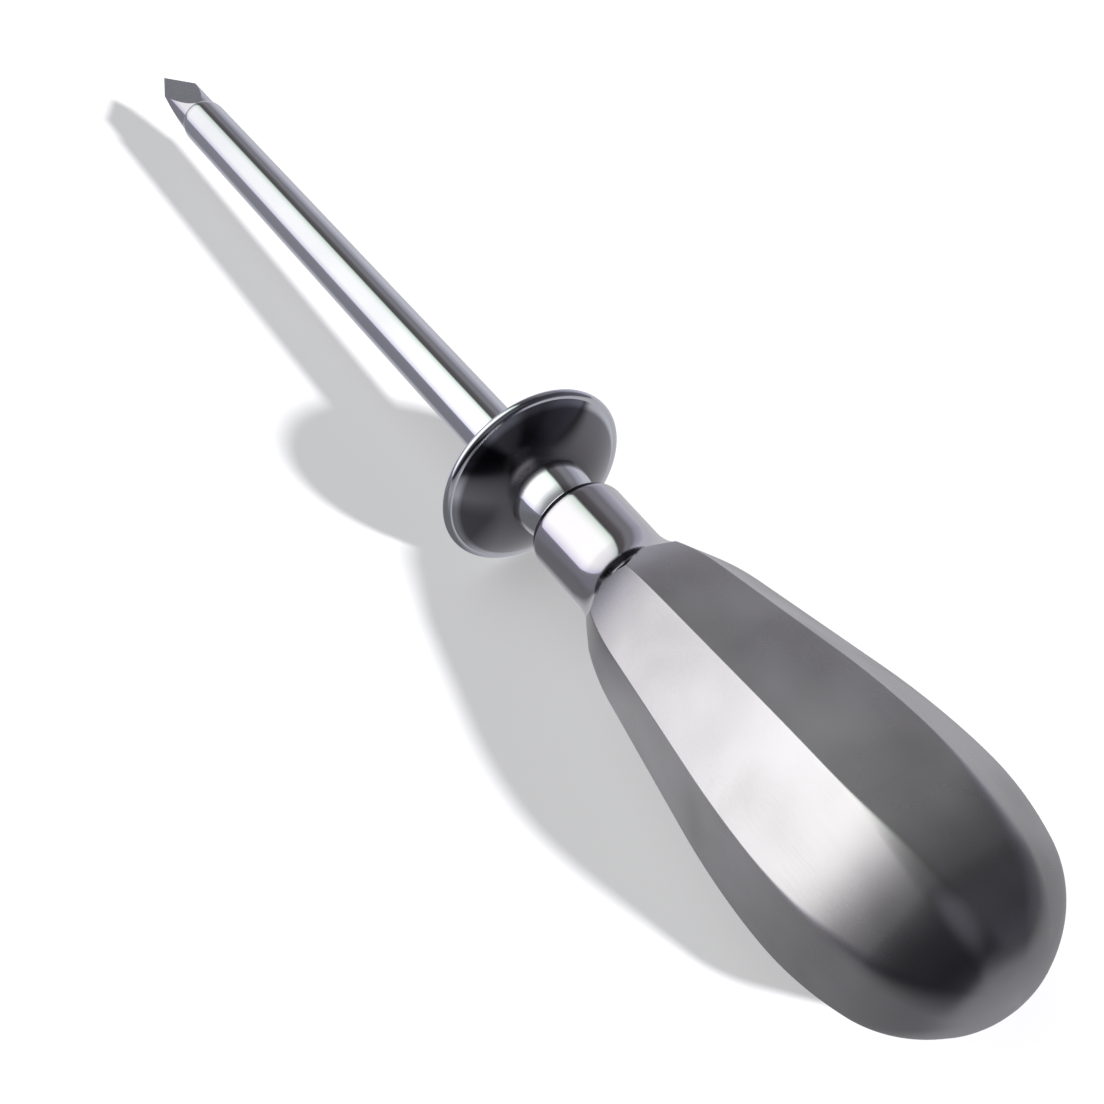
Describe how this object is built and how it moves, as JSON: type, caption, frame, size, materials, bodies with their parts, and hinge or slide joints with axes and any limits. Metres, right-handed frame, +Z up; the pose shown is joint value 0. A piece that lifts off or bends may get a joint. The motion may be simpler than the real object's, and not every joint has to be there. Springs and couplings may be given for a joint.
{
  "type": "trocar",
  "caption": "Trocar with a faceted pear handle and a three-edged stylet inside a sliding tube cannula with a domed guard.",
  "frame": {"origin": "centre of the bounding box on the surface that the tool lies on", "axes": "+X along the tool towards its point, +Z up from the surface, +Y to the left of the point"},
  "size_m": [0.277, 0.0376, 0.0375],
  "materials": {
    "polished_steel": "mirror polished stainless steel",
    "satin_steel": "satin ground stainless steel",
    "plain_steel": "plain turned stainless steel"
  },
  "bodies": {
    "handle": {"stylet": "polished_steel", "neck_collar": "polished_steel", "lock_washer": "plain_steel", "tang_nut": "plain_steel", "handle_shell_upper": "satin_steel", "handle_shell_lower": "satin_steel"},
    "cannula": {"cannula_tube": "polished_steel", "guard_disc": "polished_steel", "cannula_socket": "polished_steel"}
  },
  "joints": [
    {"name": "cannula_slide", "type": "slide", "parent": "handle", "child": "cannula", "axis": [0.9999, 0, -0.0173], "range_m": [0, 0.18]}
  ]
}
